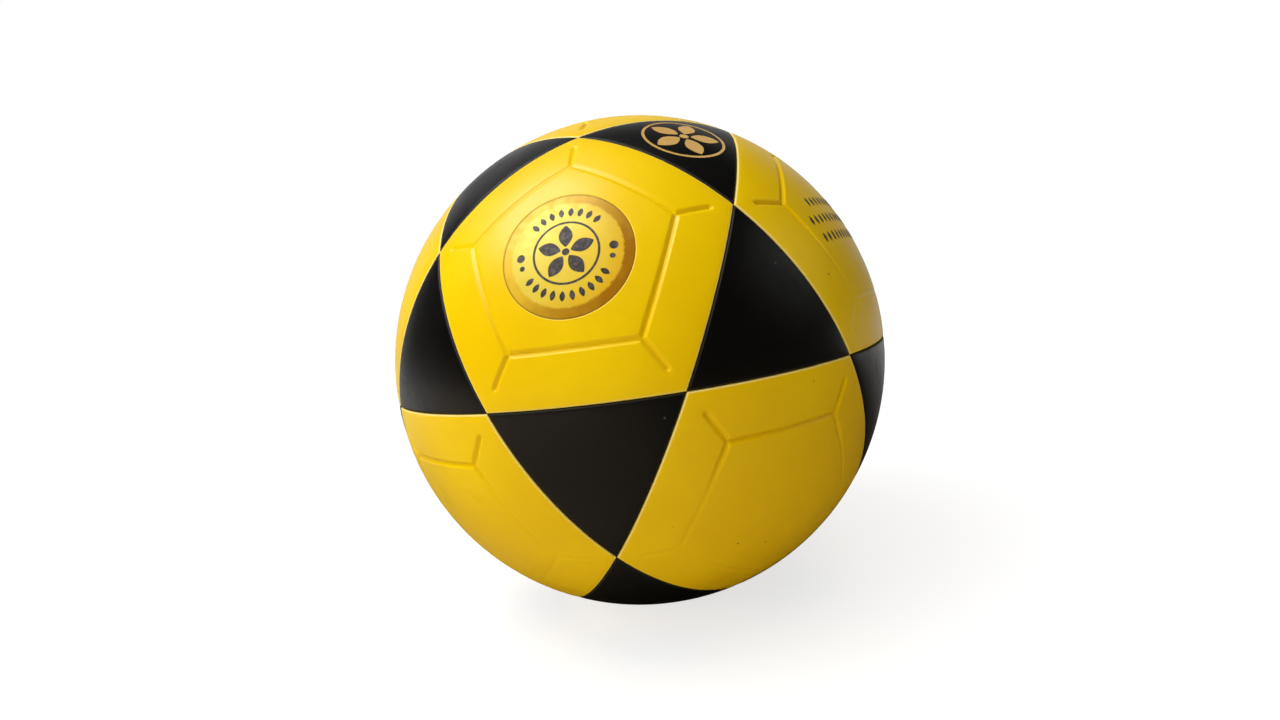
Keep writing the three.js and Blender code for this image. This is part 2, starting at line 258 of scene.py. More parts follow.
def circle_loop(radius, count):
    """A circle of that radius along the surface."""
    turns = 2 * np.pi * even_stops(count)
    flat = np.column_stack([np.cos(turns), np.sin(turns)]) * math.tan(radius / BALL_RADIUS)
    return directions(flat)


def between(inner, outer, share):
    """A loop part of the way from one loop to another with as many points."""
    mixed = inner * (1 - share) + outer * share
    return mixed / np.linalg.norm(mixed, axis=1, keepdims=True)


def side_apothem(shape, inset):
    """The apothem of a polygon whose sides lie so far in from the seams, along the surface."""
    return math.tan(shape["side_angle"] - inset / BALL_RADIUS)


def corner_apothem(inset):
    """The apothem of a pentagon whose corners lie so far in from the seams' crossings."""
    return math.tan(PENTAGON["corner_angle"] - inset / BALL_RADIUS) * math.cos(math.pi / PENTAGON["sides"])


def side_distance(shape, points):
    """How far each direction lies inside the nearest seam, along the surface."""
    turns = (2 * np.arange(shape["sides"]) + 1) * np.pi / shape["sides"]
    flat, rise = math.cos(shape["side_angle"]), math.sin(shape["side_angle"])
    walls = np.column_stack([-np.cos(turns) * flat, -np.sin(turns) * flat, np.full(len(turns), rise)])
    return BALL_RADIUS * np.arcsin(np.clip((points @ walls.T).min(1), -1, 1))


def groove_distance(points):
    """The distance along the surface to the nearest line of a pentagon's groove."""
    ring = np.abs(side_distance(PENTAGON, points) - GROOVE_INSET)
    flat = np.hypot(points[:, 0], points[:, 1])
    from_axis = np.arctan2(flat, points[:, 2])
    start = math.atan(side_apothem(PENTAGON, GROOVE_INSET) / math.cos(math.pi / PENTAGON["sides"]))
    end = PENTAGON["corner_angle"] - (SPOKE_END_GAP + GROOVE_HALF_WIDTH) / BALL_RADIUS
    turn = np.arctan2(points[:, 1], points[:, 0])
    step = 2 * np.pi / PENTAGON["sides"]
    off = turn - np.round(turn / step) * step
    across = BALL_RADIUS * np.sin(from_axis) * np.sin(off)
    past = BALL_RADIUS * np.maximum(np.maximum(from_axis - end, start - from_axis), 0)
    return np.minimum(ring, np.hypot(across, past))


def eased(share):
    """A share held between 0 and 1, with a soft start and end."""
    share = np.clip(share, 0, 1)
    return share * share * (3 - 2 * share)


def groove_relief(points, deep_turn, shallow, start, full):
    """The depth of the groove: a valley with straight walls and a rounded bottom, deeper on one side."""
    far = groove_distance(points)
    wall = 1 - np.hypot(far, GROOVE_SOFTNESS) / math.hypot(GROOVE_HALF_WIDTH, GROOVE_SOFTNESS)
    shoulder = GROOVE_SOFTNESS / GROOVE_HALF_WIDTH
    valley = shoulder * np.log1p(np.exp(wall / shoulder * 2)) / 2
    facing = np.cos(np.arctan2(points[:, 1], points[:, 0]) - math.radians(deep_turn))
    return GROOVE_DEPTH * valley * (shallow + (1 - shallow) * eased((facing - start) / (full - start)))


def edge_relief(shape, points):
    """The soft dip of a panel towards its seams."""
    return EDGE_SINK * np.exp(-np.maximum(side_distance(shape, points), 0) / EDGE_SINK_REACH)


def roundel_relief(points):
    """The shallow step down into the printed roundel."""
    radius = BALL_RADIUS * np.arctan2(np.hypot(points[:, 0], points[:, 1]), points[:, 2])
    return ROUNDEL_SINK * eased((ROUNDEL_RADIUS + ROUNDEL_STEP - radius) / ROUNDEL_STEP)


# Meshes

SAME_TURN = 1e-9
SHARP_ANGLE = math.radians(50)


def stitch(near, far, near_first, far_first):
    """Triangles between two loops that start at the same azimuth; a loop of one point gives a fan."""

    def marks(loop):
        if len(loop) == 1:
            return [math.inf, math.inf]
        turns = np.arctan2(loop[:, 1], loop[:, 0]) % (2 * np.pi)
        return [*turns[1:], 2 * np.pi, math.inf]

    near_marks, far_marks = marks(near), marks(far)
    faces, i, j = [], 0, 0
    while min(near_marks[i], far_marks[j]) < math.inf:
        a = near_first + i % len(near)
        b = far_first + j % len(far)
        if near_marks[i] <= far_marks[j] + SAME_TURN:
            i += 1
            faces.append((a, b, near_first + i % len(near)))
        else:
            j += 1
            faces.append((a, b, far_first + j % len(far)))
    return faces


def skin(loops, closed):
    """Points and triangles of a surface through the loops, each an array of points."""
    firsts = np.cumsum([0] + [len(loop) for loop in loops])
    faces = []
    for k in range(len(loops) if closed else len(loops) - 1):
        after = (k + 1) % len(loops)
        faces += stitch(loops[k], loops[after], int(firsts[k]), int(firsts[after]))
    return np.vstack(loops), faces


def new_mesh(name, points, faces):
    mesh = bpy.data.meshes.new(name)
    mesh.from_pydata([tuple(point) for point in points], [], faces)
    mesh.shade_smooth()
    mesh.set_sharp_from_angle(angle=SHARP_ANGLE)
    return mesh


def new_piece(name, mesh, material, body, stands_for=None):
    piece = bpy.data.objects.new(name, mesh)
    bpy.context.scene.collection.objects.link(piece)
    mesh.materials.append(material)
    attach(piece, body)
    if stands_for:
        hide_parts(stands_for)


# Cover panels

# Points along a pentagon's side between its spokes and along its middle's sides, points round its circles and
# round the valve hole, and loops over a rolled edge
SIDE_STEPS = 12
INNER_STEPS = 12
MIDDLE_POINTS = 60
HOLE_POINTS = 64
ROLL_STEPS = 5
# Circles in a pentagon's middle: on a plain panel, round the valve hole, on the roundel and across its step
PLAIN_CIRCLES = [radius * MM for radius in (5, 10, 15, 20, 25)]
HOLE_CIRCLES = [radius * MM for radius in (6.5, 10, 15, 20, 25)]
DISC_CIRCLES = [radius * MM for radius in range(2, 22, 2)]
STEP_CIRCLES = [ROUNDEL_RADIUS + ROUNDEL_STEP * share for share in (-0.6, 0, 0.2, 0.4, 0.6, 0.8, 1, 1.6)]
PRINT_CIRCLES = DISC_CIRCLES + STEP_CIRCLES + PLAIN_CIRCLES[-1:]
# Shares of the way from the last circle to the groove, and of the way from the edge back to the spokes' ends
MIDDLE_SHARES = (0.35, 0.7)
BORDER_SHARES = (0.75, 0.5, 0.28, 0.12)
# Loops over the groove's ring and the spokes' ends, with their reach in its half widths, and between the two
RING_LOOPS = 19
RING_REACH = 1.6
TIP_LOOPS = 13
TIP_REACH = (2.2, -0.8)
SPOKE_LOOPS = 4
# Points across a spoke, in half widths of the groove, on sides that are about this share of the panel's own
SPOKE_POINTS = (0, 0.14, 0.28, 0.42, 0.56, 0.7, 0.84, 1, 1.2, 1.5, 2)
SPOKE_SIDE_SHARE = 0.72
HALF_CORNER = math.radians(54)
# Loops as shares of a panel's size, with the points along a side: any panel's inside, a triangle's outside
INSIDE_LOOPS = ((0.8, 9), (0.6, 7), (0.4, 5), (0.2, 3))
TRIANGLE_LOOPS = ((0.12, 3), (0.26, 6), (0.42, 9), (0.58, 12), (0.72, 16))
# Loops near a triangle's edge, by their distance from its roll, and points along a side there and at the edge
TRIANGLE_INSETS = (2.6 * MM, 1.4 * MM, 0.6 * MM)
TRIANGLE_INSET_STEPS = 20
TRIANGLE_EDGE_STEPS = 24


def spoke_stops():
    """Stops along a pentagon's side: close together across the spokes at both ends."""
    half_side = BALL_RADIUS * math.tan(PENTAGON["side_angle"]) * math.tan(math.pi / PENTAGON["sides"])
    crossed_side = 2 * half_side * SPOKE_SIDE_SHARE
    fine = np.array(SPOKE_POINTS) * GROOVE_HALF_WIDTH / math.sin(HALF_CORNER) / crossed_side
    middle = np.linspace(fine[-1], 1 - fine[-1], SIDE_STEPS + 1)
    return np.concatenate([fine[:-1], middle, 1 - fine[-2:0:-1]])


def groove_apothems():
    """Polygons from just inside the groove to the edge's roll, close together on the groove's lines."""
    across = np.linspace(RING_REACH, -RING_REACH, RING_LOOPS) * GROOVE_HALF_WIDTH
    ring = [side_apothem(PENTAGON, GROOVE_INSET + off) for off in across]
    along = np.linspace(*TIP_REACH, TIP_LOOPS) * GROOVE_HALF_WIDTH
    tips = [corner_apothem(SPOKE_END_GAP + GROOVE_HALF_WIDTH / 2 + off) for off in along]
    spokes = list(np.linspace(ring[-1], tips[0], SPOKE_LOOPS + 2)[1:-1])
    rim = side_apothem(PENTAGON, SEAM_GAP / 2 + EDGE_ROLL)
    border = [rim - (rim - tips[-1]) * share for share in BORDER_SHARES]
    return ring + spokes + tips + border


def edge_loops(shape, stops):
    """Loops over the rolled edge, from the top of the roll to the foot of the wall: directions and depths."""
    loops = []
    for step in range(ROLL_STEPS + 1):
        angle = math.pi / 2 * step / ROLL_STEPS
        inset = SEAM_GAP / 2 + EDGE_ROLL * (1 - math.sin(angle))
        loop = polygon_loop(shape, side_apothem(shape, inset), stops)
        loops.append((loop, EDGE_ROLL * (1 - math.cos(angle)) + edge_relief(shape, loop)))
    outline = polygon_loop(shape, side_apothem(shape, SEAM_GAP / 2), stops)
    loops.append((outline, np.full(len(outline), PANEL_THICKNESS)))
    return loops


def inside_loops(shape, hole_radius):
    """The panel's inside, from its edge to its middle."""
    outline = side_apothem(shape, SEAM_GAP / 2)
    loops = [polygon_loop(shape, outline * share, even_stops(steps)) for share, steps in INSIDE_LOOPS]
    loops.append(circle_loop(hole_radius, HOLE_POINTS) if hole_radius else AXIS_POINT)
    return [(loop, np.full(len(loop), PANEL_THICKNESS)) for loop in loops]


def panel_mesh(name, shape, outside, edge_stops, hole_radius=0):
    """One closed panel. Its vertices carry how far they lie from the seam and how deep they are pressed."""
    layers = outside + edge_loops(shape, edge_stops) + inside_loops(shape, hole_radius)
    loops = [loop * (BALL_RADIUS - depth)[:, None] for loop, depth in layers]
    points, faces = skin(loops, closed=hole_radius > 0)
    mesh = new_mesh(name, points, faces)
    rays = np.vstack([loop for loop, _ in layers])
    pressed = np.concatenate([depth for _, depth in layers])
    for attribute, values in (("seam", side_distance(shape, rays)), ("press", pressed)):
        data = mesh.attributes.new(attribute, "FLOAT", "POINT").data
        data.foreach_set("value", (values / MM).astype(np.float32))
    return mesh


def hole_rim(hole_radius):
    """Loops over the rolled rim of the valve hole, from its wall to the panel's top."""
    loops = []
    for step in range(ROLL_STEPS + 1):
        angle = math.pi / 2 * (1 - step / ROLL_STEPS)
        loop = circle_loop(hole_radius + EDGE_ROLL * (1 - math.sin(angle)), HOLE_POINTS)
        loops.append((loop, np.full(len(loop), EDGE_ROLL * (1 - math.cos(angle)))))
    return loops


def pentagon_mesh(name, press, circles, relief=None, hole_radius=0):
    """A grooved pentagon: a middle of circles, then loops that turn into the groove's polygons."""
    stops = spoke_stops()
    apothems = groove_apothems()
    inner = polygon_loop(PENTAGON, apothems[0], even_stops(INNER_STEPS))
    turns = np.arctan2(inner[:, 1], inner[:, 0])
    reach = math.tan(circles[-1] / BALL_RADIUS)
    last = directions(np.column_stack([np.cos(turns), np.sin(turns)]) * reach)
    loops = [] if hole_radius else [AXIS_POINT]
    loops += [circle_loop(radius, MIDDLE_POINTS) for radius in circles]
    loops += [between(last, inner, share) for share in MIDDLE_SHARES]
    loops += [polygon_loop(PENTAGON, apothem, stops) for apothem in apothems]
    outside = hole_rim(hole_radius) if hole_radius else []
    for loop in loops:
        depth = groove_relief(loop, *press) + edge_relief(PENTAGON, loop)
        if relief:
            depth = depth + relief(loop)
        outside.append((loop, depth))
    return panel_mesh(name, PENTAGON, outside, stops, hole_radius)


def triangle_mesh(name):
    rim = side_apothem(TRIANGLE, SEAM_GAP / 2 + EDGE_ROLL)
    near_edge = [side_apothem(TRIANGLE, SEAM_GAP / 2 + EDGE_ROLL + inset) for inset in TRIANGLE_INSETS]
    loops = [AXIS_POINT]
    loops += [polygon_loop(TRIANGLE, rim * share, even_stops(steps)) for share, steps in TRIANGLE_LOOPS]
    loops += [polygon_loop(TRIANGLE, apothem, even_stops(TRIANGLE_INSET_STEPS)) for apothem in near_edge]
    outside = [(loop, edge_relief(TRIANGLE, loop)) for loop in loops]
    return panel_mesh(name, TRIANGLE, outside, even_stops(TRIANGLE_EDGE_STEPS))


def panel_turns(rows):
    """The rotation of each panel in the rows, from its own frame to the ball's."""
    for count, polar, first, corner_up in rows:
        for copy in range(count):
            azimuth = math.radians(first) + 2 * math.pi * copy / count
            spin = math.pi if corner_up else 0
            turn = Matrix.Rotation(azimuth, 4, "Z") @ Matrix.Rotation(polar, 4, "Y")
            yield turn @ Matrix.Rotation(spin, 4, "Z")


def make_cover(yellow, black):
    """The 32 panels. Returns the rotation of each, by name."""
    kinds = {
        VALVE_PANEL: (HOLE_CIRCLES, None, VALVE_HOLE_RADIUS),
        PRINT_PANEL: (PRINT_CIRCLES, roundel_relief),
    }
    triangle = triangle_mesh("triangle_skin")
    turns = {}
    for index, turn in enumerate(panel_turns(PENTAGON_ROWS)):
        name = f"pentagon_panel_{index + 1:02d}" if index else VALVE_PANEL
        kind = kinds.get(name, (PLAIN_CIRCLES,))
        mesh = pentagon_mesh(f"{name}_skin", GROOVE_PRESSES[index], *kind)
        mesh.transform(turn)
        new_piece(f"{name}_skin", mesh, yellow, "ball", name)
        turns[name] = turn
    for index, turn in enumerate(panel_turns(TRIANGLE_ROWS)):
        name = f"triangle_panel_{index + 1:02d}"
        mesh = triangle.copy()
        mesh.transform(turn)
        new_piece(f"{name}_skin", mesh, black, "ball", name)
        turns[name] = turn
    return turns


# Prints: thin films that follow the ball, from outlines in lengths along the surface round a panel's axis

# Points along one side of a leaf and round a circle, loops across a ring, and how full a leaf is
PETAL_POINTS = 24
SMALL_LEAF_POINTS = 12
HUB_POINTS = 24
DOT_POINTS = 20
CIRCLE_POINTS = 128
RING_STEPS = 4
LEAF_FULLNESS = 0.8


def on_ball(outline, height):
    """Points at that height over the ball, from (x, y) measured along the surface from the panel's axis."""
    reach = np.hypot(outline[:, 0], outline[:, 1])
    turn = np.arctan2(outline[:, 1], outline[:, 0])
    angle = reach / BALL_RADIUS
    flat = np.sin(angle)
    return (BALL_RADIUS + height) * np.column_stack([flat * np.cos(turn), flat * np.sin(turn), np.cos(angle)])


def circle(radius, count, centre=(0, 0)):
    turns = 2 * np.pi * even_stops(count)
    return np.column_stack([np.cos(turns), np.sin(turns)]) * radius + np.array(centre)


def leaf(start, end, half_width, count, turn=0, root=(0, 0)):
    """A pointed leaf that reaches from the root in the turn's direction."""
    share = np.concatenate([np.linspace(0, 1, count), np.linspace(1, 0, count)[1:-1]])
    side = np.concatenate([-np.ones(count), np.ones(count - 2)])
    along = start + (end - start) * share
    across = side * half_width * np.sin(np.pi * share) ** LEAF_FULLNESS
    return np.array(root) + np.column_stack([
        along * math.cos(turn) - across * math.sin(turn),
        along * math.sin(turn) + across * math.cos(turn),
    ])


def ring_faces(count, rows):
    """Quads between rows of points that close on themselves."""
    return [
        (row * count + k, row * count + (k + 1) % count,
         (row + 1) * count + (k + 1) % count, (row + 1) * count + k)
        for row in range(rows - 1) for k in range(count)
    ]


def blob_film(outline, low, high):
    """A closed film over an outline that can be seen whole from its middle."""
    count = len(outline)
    middle = outline.mean(0)
    steps = math.ceil(np.linalg.norm(outline - middle, axis=1).max() / FILM_MESH)
    shares = [step / steps for step in range(1, steps + 1)]
    loops = [(share, low) for share in shares] + [(share, high) for share in reversed(shares)]
    rows = [on_ball(middle + (outline - middle) * share, height) for share, height in loops]
    caps = [on_ball(middle[None], low), on_ball(middle[None], high)]
    points = np.vstack(rows + caps)
    faces = ring_faces(count, len(rows))
    last = (len(rows) - 1) * count
    under, over = last + count, last + count + 1
    faces += [(under, (k + 1) % count, k) for k in range(count)]
    faces += [(over, last + k, last + (k + 1) % count) for k in range(count)]
    return points, faces


def ring_film(inner, outer, low, high):
    """A closed film between two circles, whose last row joins its first."""
    radii = list(np.linspace(inner, outer, RING_STEPS + 1))
    loops = [(radius, low) for radius in radii] + [(radius, high) for radius in reversed(radii)]
    points = np.vstack([on_ball(circle(radius, CIRCLE_POINTS), height) for radius, height in loops])
    wrapped = ring_faces(CIRCLE_POINTS, len(loops) + 1)
    return points, [tuple(corner % len(points) for corner in face) for face in wrapped]


def film_piece(name, makers, level, lift, turn, material):
    """One piece from several films on one level; each maker takes its arguments and then the heights."""
    points, faces, first = [], [], 0
    for maker, arguments in makers:
        more_points, more_faces = maker(*arguments, level - FILM_ROOT, level + lift)
        points.append(more_points)
        faces += [tuple(first + corner for corner in face) for face in more_faces]
        first += len(more_points)
    mesh = new_mesh(name, np.vstack(points), faces)
    mesh.transform(turn)
    new_piece(name, mesh, material, "ball")


def blobs(outlines):
    return [(blob_film, (outline,)) for outline in outlines]


def ringed_rosette(scale):
    """Films of a plain five-leaved figure round a hub, in a ring."""
    ring = ((INNER_RING_RADIUS - INNER_RING_WIDTH) * scale, INNER_RING_RADIUS * scale)
    petal = (PETAL_START * scale, PETAL_END * scale, PETAL_HALF_WIDTH * scale, PETAL_POINTS)
    petals = [leaf(*petal, turn) for turn in 2 * np.pi * even_stops(PETAL_COUNT)]
    return [(ring_film, ring)] + blobs(petals + [circle(HUB_RADIUS * scale, HUB_POINTS)])


def roundel_border():
    """Outlines of the leaves in two arcs, above and below, and of the dots at both sides."""
    outlines = []
    reach = ARC_RADIUS - ARC_LEAF_LENGTH / 2
    arc_leaf = (reach, reach + ARC_LEAF_LENGTH, ARC_LEAF_HALF_WIDTH, SMALL_LEAF_POINTS)
    for middle, count in ((0, TOP_LEAVES), (math.pi, BOTTOM_LEAVES)):
        for place in np.arange(count) - (count - 1) / 2:
            outlines.append(leaf(*arc_leaf, middle + place * ARC_STEP))
    for side in (1, -1):
        for reach, turn, radius in SIDE_DOTS:
            centre = (reach * math.cos(turn), side * reach * math.sin(turn))
            outlines.append(circle(radius, DOT_POINTS, centre))
    return outlines


def leaf_rows():
    """Outlines of three rows of upright leaves."""
    outlines = []
    for height, half in zip(ROW_HEIGHTS, ROW_HALF_LENGTHS):
        for place in np.arange(-half, half, ROW_STEP):
            root = (height - ROW_LEAF_LENGTH / 2, place)
            outlines.append(leaf(0, ROW_LEAF_LENGTH, ROW_LEAF_HALF_WIDTH, SMALL_LEAF_POINTS, root=root))
    return outlines


def make_prints(turns):
    """The roundel's foil and ink, the mark on the triangle and the rows of leaves."""
    ink = print_ink("print_ink")
    turn = turns[PRINT_PANEL]
    gold = roundel_gold("roundel_gold", turn)
    disc = blobs([circle(ROUNDEL_RADIUS, CIRCLE_POINTS)])
    film_piece("roundel_foil", disc, -ROUNDEL_SINK, FOIL_LIFT, turn, gold)
    marks = ringed_rosette(1) + blobs(roundel_border())
    film_piece("roundel_ink", marks, -ROUNDEL_SINK, INK_LIFT, turn, ink)
    turn = turns[MARK_PANEL]
    gold = mark_gold("mark_gold", turn)
    film_piece("triangle_mark", ringed_rosette(MARK_SCALE), 0, FOIL_LIFT, turn, gold)
    film_piece("side_rows", blobs(leaf_rows()), 0, INK_LIFT, turns[ROWS_PANEL], ink)


# Valve and shells, turned about the +Z axis from closed profiles of (distance, height)

VALVE_SIDES = 72
SHELL_SIDES = 96
SHELL_BANDS = 64
# Steps round a fillet, and the most of a side that one takes
FILLET_STEPS = 4
FILLET_SHARE = 0.45


def filleted(profile, radius):
    """The closed profile with its corners off the axis rounded."""
    rounded = []
    count = len(profile)
    for k in range(count):
        before, corner, after = (np.array(profile[(k + off) % count]) for off in (-1, 0, 1))
        if corner[0] == 0:
            rounded.append(tuple(corner))
            continue
        back, on = before - corner, after - corner
        cut = min(radius, np.linalg.norm(back) * FILLET_SHARE, np.linalg.norm(on) * FILLET_SHARE)
        start = corner + back / np.linalg.norm(back) * cut
        end = corner + on / np.linalg.norm(on) * cut
        for share in np.linspace(0, 1, FILLET_STEPS + 1):
            point = start * (1 - share) ** 2 + corner * 2 * share * (1 - share) + end * share**2
            rounded.append(tuple(point))
    return rounded


def turned_mesh(name, profile, sides):
    """A closed surface of revolution; profiles run with the solid on their left, seen with +Z up."""
    turns = 2 * np.pi * even_stops(sides)
    points, firsts = [], []
    for distance, height in profile:
        firsts.append(len(points))
        if distance == 0:
            points.append((0, 0, height))
        else:
            points += [(distance * math.cos(turn), distance * math.sin(turn), height) for turn in turns]
    faces = []
    for k, (distance, _) in enumerate(profile):
        after = (k + 1) % len(profile)
        a, b = firsts[k], firsts[after]
        for side in range(sides):
            step = (side + 1) % sides
            if distance and profile[after][0]:
                faces.append((a + side, a + step, b + step, b + side))
            elif distance:
                faces.append((a + side, a + step, b))
            elif profile[after][0]:
                faces.append((a, b + step, b + side))
    return new_mesh(name, points, faces)


def core_profile():
    shoulder = VALVE_TOP - CORE_HEAD_HEIGHT
    return [
        (0, CORE_TIP),
        (CORE_SHANK_RADIUS - CORE_TAPER, CORE_TIP),
        (CORE_SHANK_RADIUS, CORE_TIP + CORE_TAPER),
        (CORE_SHANK_RADIUS, shoulder),
        (CORE_HEAD_RADIUS, shoulder),
        (CORE_HEAD_RADIUS, VALVE_TOP),
        (NEEDLE_HOLE_RADIUS + NEEDLE_LEAD_IN, VALVE_TOP),
        (NEEDLE_HOLE_RADIUS, VALVE_TOP - NEEDLE_LEAD_IN),
        (NEEDLE_HOLE_RADIUS, VALVE_TOP - NEEDLE_HOLE_DEPTH),
        (0, VALVE_TOP - NEEDLE_HOLE_DEPTH),
    ]


def flange_top(distance):
    """The flange's top lies just under the bladder's inside."""
    inside = BLADDER_RADIUS - BLADDER_THICKNESS - FLANGE_GAP
    return math.sqrt(inside**2 - distance**2) - FLANGE_GAP


def housing_profile():
    shoulder = VALVE_TOP - CORE_HEAD_HEIGHT - SOCKET_CLEARANCE
    bottom = CORE_TIP - SOCKET_CLEARANCE
    rim_top = flange_top(FLANGE_RADIUS)
    return [
        (NECK_RADIUS, VALVE_TOP),
        (HEAD_SOCKET_RADIUS, VALVE_TOP),
        (HEAD_SOCKET_RADIUS, shoulder),
        (SHANK_SOCKET_RADIUS, shoulder),
        (SHANK_SOCKET_RADIUS, bottom),
        (AIR_HOLE_RADIUS, bottom),
        (AIR_HOLE_RADIUS, HOUSING_BOTTOM),
        (HOUSING_RADIUS - HOUSING_TAPER, HOUSING_BOTTOM),
        (HOUSING_RADIUS, HOUSING_BOTTOM + HOUSING_TAPER),
        (HOUSING_RADIUS, flange_top(HOUSING_RADIUS) - FLANGE_THICKNESS),
        (FLANGE_RADIUS, rim_top - FLANGE_THICKNESS),
        (FLANGE_RADIUS, rim_top),
        (NECK_RADIUS, flange_top(NECK_RADIUS)),
    ]


def shell_profile(radius, thickness):
    """A ball with a hole round the valve: down the inside to the lower pole, and up the outside."""
    inside = radius - thickness
    outside_polars = np.linspace(math.asin(VALVE_HOLE_RADIUS / radius), math.pi, SHELL_BANDS)
    inside_polars = np.linspace(math.pi, math.asin(VALVE_HOLE_RADIUS / inside), SHELL_BANDS)
    outer = [(radius * math.sin(polar), radius * math.cos(polar)) for polar in outside_polars[:-1]]
    inner = [(inside * math.sin(polar), inside * math.cos(polar)) for polar in inside_polars[1:]]
    profile = outer + [(0, -radius), (0, -inside)] + inner
    return profile[::-1]


def make_valve():
    housing_rubber, core_rubber = rubber("housing_rubber"), rubber("core_rubber")
    housing = turned_mesh("valve_housing_turned", filleted(housing_profile(), VALVE_FILLET), VALVE_SIDES)
    new_piece("valve_housing_turned", housing, housing_rubber, "ball", "valve_housing")
    core = turned_mesh("valve_core_turned", filleted(core_profile(), VALVE_FILLET), VALVE_SIDES)
    new_piece("valve_core_turned", core, core_rubber, "plug", "valve_core")


def make_shells():
    shells = (
        ("carcass", CARCASS_RADIUS, CARCASS_THICKNESS, rubber("carcass_rubber"), "carcass_rubber"),
        ("winding_layer", WINDING_RADIUS, WINDING_THICKNESS, wound_nylon("winding_nylon"), "winding_nylon"),
        ("bladder", BLADDER_RADIUS, BLADDER_THICKNESS, rubber("bladder_rubber"), "bladder_rubber"),
    )
    for node, radius, thickness, material, slot in shells:
        mesh = turned_mesh(f"{node}_shell", shell_profile(radius, thickness), SHELL_SIDES)
        new_piece(f"{node}_shell", mesh, material, "ball", node)


# Materials

# Noise is given as its cells per metre and its detail, bump as its depth and its strength, a ramp as where
# it starts and ends, with its values there unless they are 0 and 1. Most of a noise lies in this range
NOISE_RANGE = (0.3, 0.7)

# Cover: drift and mottle of the colour, rubs along turned streaks, patches of sheen, orange peel and grain
DRIFT_NOISE = (16, 3)
DRIFT_RAMP = (0.35, 0.65)
MOTTLE_NOISE = (520, 4)
MOTTLE_RAMP = (0.45, 0.75, 0, 0.16)
MOTTLE_DULLING = 0.35
RUB_STRETCH = (14, 90, 40)
RUB_TURN = (0.4, 0.9, 0.2)
RUB_NOISE = (1, 5)
RUB_RAMP = (0.6, 0.78)
RUB_TINT = 0.16
RUB_DULLING = 0.12
SHEEN_NOISE = (34, 3)
SHEEN_RAMP = (*NOISE_RANGE, 0.3, 0.39)
PEEL_NOISE = (330, 2)
PEEL_BUMP = (0.05 * MM, 0.3)
GRAIN_NOISE = (2200, 3)
GRAIN_BUMP = (0.04 * MM, 0.4)
# Ramps over millimetres from the seam's middle, and over millimetres pressed in
WEAR_STARTS = (0.1, 0.25)
WEAR_ENDS = (0.5, 0.85, 0.7, 0)
# Painted shade: deep in the seam's gap the cover goes towards its grime colour, darker on the yellow
SEAM_GRIME_AND_SHADE = (0.06, 0.14, 0.85, 0)
EDGE_DULLING = (0.45, 0.9, 0.35, 0)
# Painted shade: the deepest pressed parts, in the grooves, go a little towards the grime colour
PRESS_GRIME_AND_SHADE = (0.45, 1.1, 0, 0.04)
# Specks: cells per metre, size as a share of a cell, its solid part, and the ramp that chooses some cells
SPECK_CELLS = 90
SPECK_SIZE = 0.05
SPECK_CORE = 0.5
SPECK_CHOICE = (0.3, 0.32)
SPECK_TINT = 0.8
# Foil and ink
BLOT_NOISE = (150, 5)
BLOT_RAMP = (*NOISE_RANGE, -0.12, 0.12)
RAGGED_NOISE = (700, 3)
RAGGED_RAMP = (*NOISE_RANGE, -RIM_RAGGED, RIM_RAGGED)
FOIL_SHEEN_NOISE = (420, 4)
FOIL_SHEEN_RAMP = (*NOISE_RANGE, 0.3, 0.5)
FOIL_WRINKLE_NOISE = (900, 3)
FOIL_WRINKLE_BUMP = (0.03 * MM, 0.3)
FOIL_METALLIC = 0.15
INK_THIN_NOISE = (800, 4)
INK_THIN_RAMP = (0.4, 0.7)
INK_SHEEN_NOISE = (300, 2)
INK_SHEEN_RAMP = (*NOISE_RANGE, 0.4, 0.55)
INK_GRAIN_NOISE = (1500, 2)
INK_GRAIN_BUMP = (0.02 * MM, 0.3)
# Rubber: a bloom of dust, and patches and pits so many times finer
BLOOM_DETAIL = 5
BLOOM_RAMP = (0.4, 0.75, 0, 0.5)
PATCH_FINENESS = 3
PATCH_DETAIL = 3
PATCH_SPREAD = 0.08
PIT_FINENESS = 14
PIT_DETAIL = 3
PIT_BUMP = (0.05 * MM, 0.4)
# Nylon: thread wound in three directions
UNSTRETCHED = (1, 1, 1)
STRAND_TURNS = ((0.3, 0.2, 0), (1.2, 0.5, 0.9), (0.7, 1.4, 2.1))
STRAND_WAVE = {"Scale": 90, "Distortion": 1.5, "Detail": 2}
STRAND_RAMP = (0.5, 0.95)
STRAND_BUMP = (0.3 * MM, 0.8)
NYLON_ROUGHNESS = 0.7
NYLON_SHEEN = 0.2


